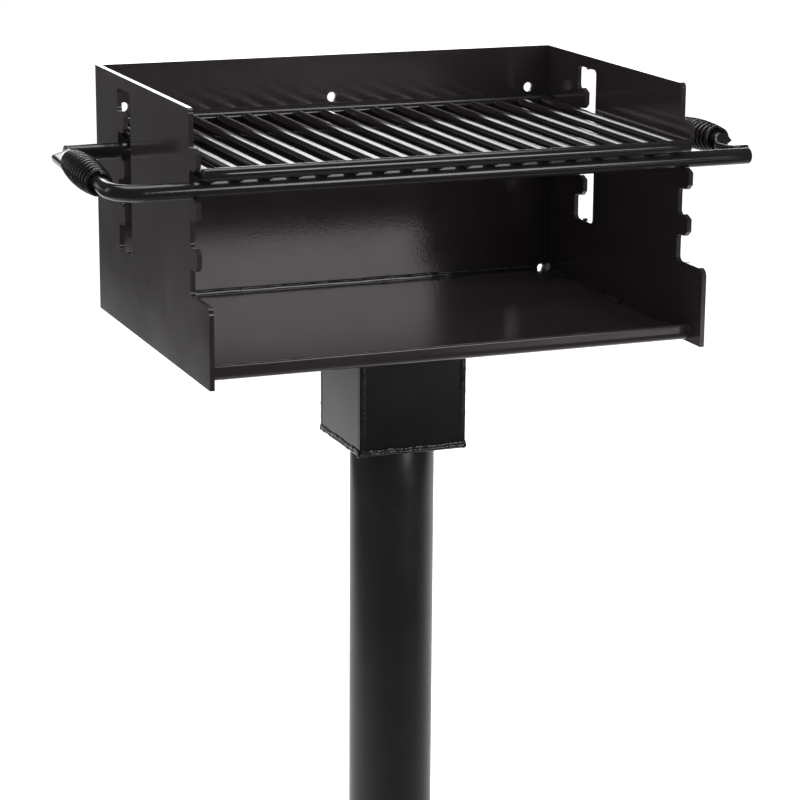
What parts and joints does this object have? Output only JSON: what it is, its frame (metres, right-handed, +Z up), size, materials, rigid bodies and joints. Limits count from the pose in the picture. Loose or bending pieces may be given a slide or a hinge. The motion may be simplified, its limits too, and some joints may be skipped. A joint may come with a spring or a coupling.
{
  "type": "park barbecue grill pedestal",
  "caption": "Open-fronted steel firebox on a pipe post, with a lift-and-hook bar grate, toothed side plates, rear slots and coil grips.",
  "frame": {"origin": "on the post's axis at the ground line", "axes": "+Z up the post, +X to the firebox's right side, -Y out of its open front"},
  "size_m": [0.6876, 0.3711, 1.5624],
  "materials": {
    "firebox_paint": "gloss",
    "post_paint": "satin",
    "grate_paint": "gloss",
    "weld_paint": "gloss",
    "grip_coil": "gloss",
    "bare_steel": "turned",
    "bronze": "turned"
  },
  "bodies": {
    "post": {"post_pipe": "post_paint", "post_head": "bare_steel", "bearing_washer": "bronze", "retaining_disc": "bare_steel", "retaining_nut": "bare_steel"},
    "firebox": {"left_side_plate": "firebox_paint", "right_side_plate": "firebox_paint", "back_plate": "firebox_paint", "floor_plate": "firebox_paint", "mount_front_wall": "firebox_paint", "mount_rear_wall": "firebox_paint", "mount_left_wall": "firebox_paint", "mount_right_wall": "firebox_paint", "mount_bottom_plate": "firebox_paint", "mount_bottom_weld": "weld_paint", "mount_corner_welds": "weld_paint", "mount_top_weld": "weld_paint", "floor_back_weld": "weld_paint", "floor_side_welds": "weld_paint", "lip_end_welds": "weld_paint", "back_side_welds": "weld_paint"},
    "grate": {"front_rod": "grate_paint", "rear_rod": "grate_paint", "front_rail": "grate_paint", "rear_rail": "grate_paint", "bar_welds": "weld_paint", "cooking_bar_1": "grate_paint", "cooking_bar_2": "grate_paint", "cooking_bar_3": "grate_paint", "cooking_bar_4": "grate_paint", "cooking_bar_5": "grate_paint", "cooking_bar_6": "grate_paint", "cooking_bar_7": "grate_paint", "cooking_bar_8": "grate_paint", "cooking_bar_9": "grate_paint", "cooking_bar_10": "grate_paint", "cooking_bar_11": "grate_paint", "cooking_bar_12": "grate_paint", "cooking_bar_13": "grate_paint", "cooking_bar_14": "grate_paint", "cooking_bar_15": "grate_paint", "cooking_bar_16": "grate_paint", "cooking_bar_17": "grate_paint", "cooking_bar_18": "grate_paint"},
    "left_grip": {"left_grip": "grip_coil"},
    "right_grip": {"right_grip": "grip_coil"}
  },
  "joints": [
    {"name": "firebox_swivel", "type": "hinge", "parent": "post", "child": "firebox", "pos_m": [0, 0, 0.5813], "axis": [0, 0, 1], "continuous": true},
    {"name": "grate_pull", "type": "slide", "parent": "firebox", "child": "grate", "axis": [0, -0.9659, 0.2588], "range_m": [0, 0.0255]},
    {"name": "left_grip_turn", "type": "hinge", "parent": "grate", "child": "left_grip", "pos_m": [-0.328, -0.04864, 0.88349], "axis": [0, 0.9984, 0.0558], "continuous": true},
    {"name": "right_grip_turn", "type": "hinge", "parent": "grate", "child": "right_grip", "pos_m": [0.328, -0.01964, 0.88151], "axis": [0, -0.9996, 0.0279], "continuous": true}
  ]
}
